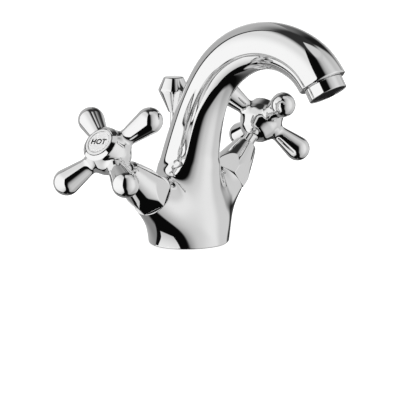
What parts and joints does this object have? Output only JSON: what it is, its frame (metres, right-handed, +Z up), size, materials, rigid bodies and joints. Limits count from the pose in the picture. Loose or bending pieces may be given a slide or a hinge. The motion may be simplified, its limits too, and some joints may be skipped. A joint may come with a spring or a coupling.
{
  "type": "bathroom mixer faucet",
  "caption": "Deck-mounted basin mixer with swan-neck spout, cross handles on inclined ceramic valves and a pop-up waste rod.",
  "frame": {"origin": "centre of the base on the deck plane, on the axis of the deck hole", "axes": "+Z up from the deck, spout towards -Y, hot side at -X, cold side at +X"},
  "size_m": [0.2052, 0.1507, 0.1451],
  "materials": {
    "chrome_casting": "polished chrome plate on cast brass",
    "chrome_trim": "polished chrome plate on turned brass",
    "brass": "machined",
    "steel": "turned stainless",
    "rubber_seal": "matt black EPDM",
    "ceramic": "lapped alumina",
    "white_plastic": "moulded acetal",
    "grey_plastic": "moulded, dark grey",
    "index_enamel": "glossy inlay"
  },
  "bodies": {
    "mixer": {"mixer_body": "chrome_casting", "base_gasket": "rubber_seal", "aerator_housing": "chrome_trim", "aerator_insert": "white_plastic", "aerator_screen": "grey_plastic", "aerator_washer": "rubber_seal", "rod_bush": "white_plastic", "hot_bonnet": "chrome_trim", "hot_headwork_body": "brass", "hot_headwork_gasket": "rubber_seal", "hot_seat_seal": "rubber_seal", "hot_fixed_disc": "ceramic", "cold_bonnet": "chrome_trim", "cold_headwork_body": "brass", "cold_headwork_gasket": "rubber_seal", "cold_seat_seal": "rubber_seal", "cold_fixed_disc": "ceramic"},
    "hot_handle": {"hot_handle": "chrome_casting", "hot_handle_screw": "steel", "hot_index_button": "chrome_trim", "hot_index_disc": "index_enamel", "hot_spindle": "brass", "hot_spindle_oring": "rubber_seal", "hot_circlip": "steel", "hot_moving_disc": "ceramic"},
    "cold_handle": {"cold_handle": "chrome_casting", "cold_handle_screw": "steel", "cold_index_button": "chrome_trim", "cold_index_disc": "index_enamel", "cold_spindle": "brass", "cold_spindle_oring": "rubber_seal", "cold_circlip": "steel", "cold_moving_disc": "ceramic"},
    "pop_up": {"pull_knob": "chrome_trim", "pull_rod": "chrome_trim", "rod_collar": "brass"}
  },
  "joints": [
    {"name": "hot_handle_turn", "type": "hinge", "parent": "mixer", "child": "hot_handle", "pos_m": [0, 0, 0.00398], "axis": [-0.7687, 0, 0.6396], "range_deg": [0, 90]},
    {"name": "cold_handle_turn", "type": "hinge", "parent": "mixer", "child": "cold_handle", "pos_m": [0, 0, 0.00398], "axis": [0.7687, 0, 0.6396], "range_deg": [0, 90]},
    {"name": "pop_up_lift", "type": "slide", "parent": "mixer", "child": "pop_up", "axis": [0, 0, 1], "range_m": [0, 0.022]}
  ]
}
